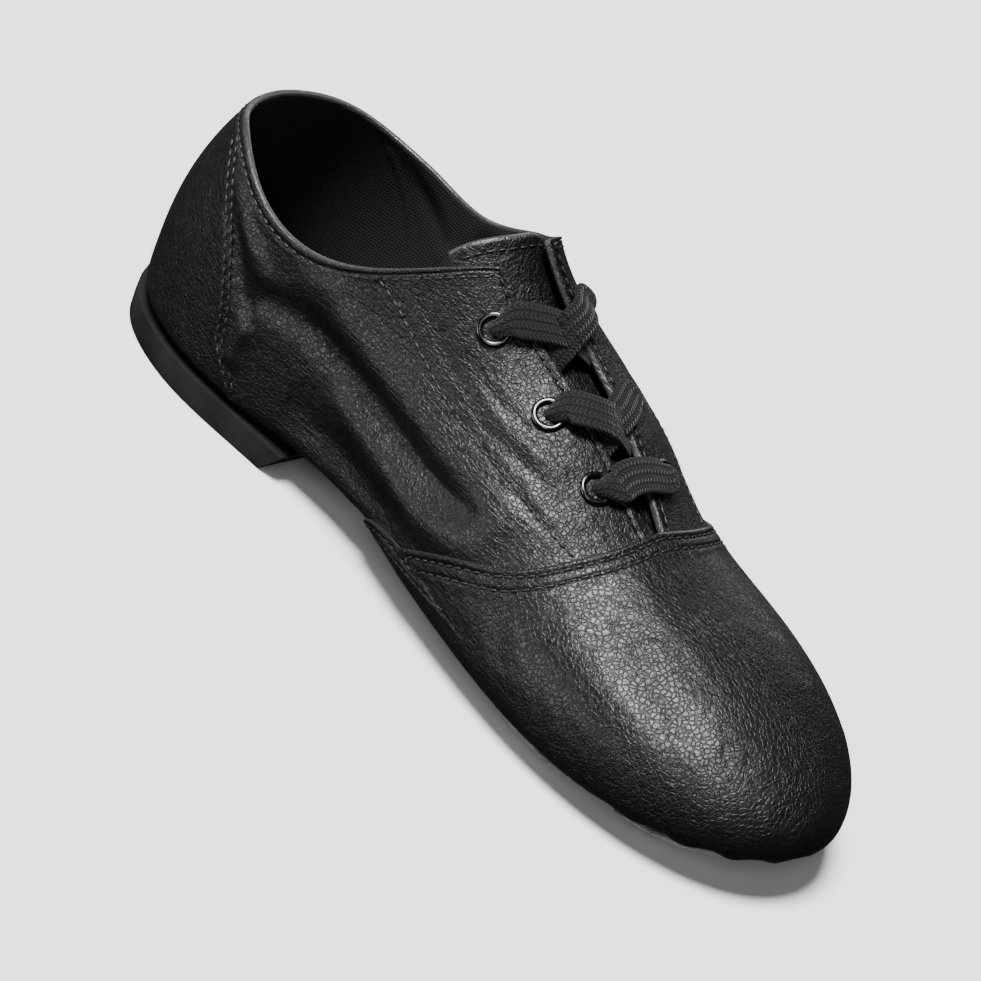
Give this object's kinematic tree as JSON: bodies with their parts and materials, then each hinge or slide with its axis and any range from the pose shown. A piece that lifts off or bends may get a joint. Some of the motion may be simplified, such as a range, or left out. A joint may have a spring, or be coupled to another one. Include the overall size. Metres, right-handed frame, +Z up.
{
  "type": "jazz shoe",
  "caption": "Low lace-up jazz dance shoe for the left foot, with a soft leather upper, a split sole of suede pads under the forefoot and a rubber heel pad.",
  "frame": {"origin": "on the floor, in the flat underside of the heel pad, 33 mm in front of the back of the upper", "axes": "+X from heel to toe, +Y to the lateral (outer) side of this left shoe, +Z up"},
  "size_m": [0.2522, 0.0832, 0.0866],
  "materials": {
    "leather": "black pebble grain, semi-gloss",
    "lining": "black woven lining, matte",
    "suede": "dark grey suede nap, matte",
    "heel_rubber": "black rubber, matte",
    "eyelet_metal": "black lacquered metal, glossy rim",
    "lace_cotton": "black flat woven lace, matte"
  },
  "bodies": {
    "root": {"upper": "leather", "insole": "lining", "tongue": "leather", "heel_pad": "heel_rubber", "forefoot_pad": "suede", "toe_pad": "suede", "eyelet_lateral_1": "eyelet_metal", "eyelet_medial_1": "eyelet_metal", "eyelet_lateral_2": "eyelet_metal", "eyelet_medial_2": "eyelet_metal", "eyelet_lateral_3": "eyelet_metal", "eyelet_medial_3": "eyelet_metal", "lace_bar": "lace_cotton", "lace_crossing_lower": "lace_cotton", "lace_crossing_upper": "lace_cotton"}
  },
  "joints": []
}
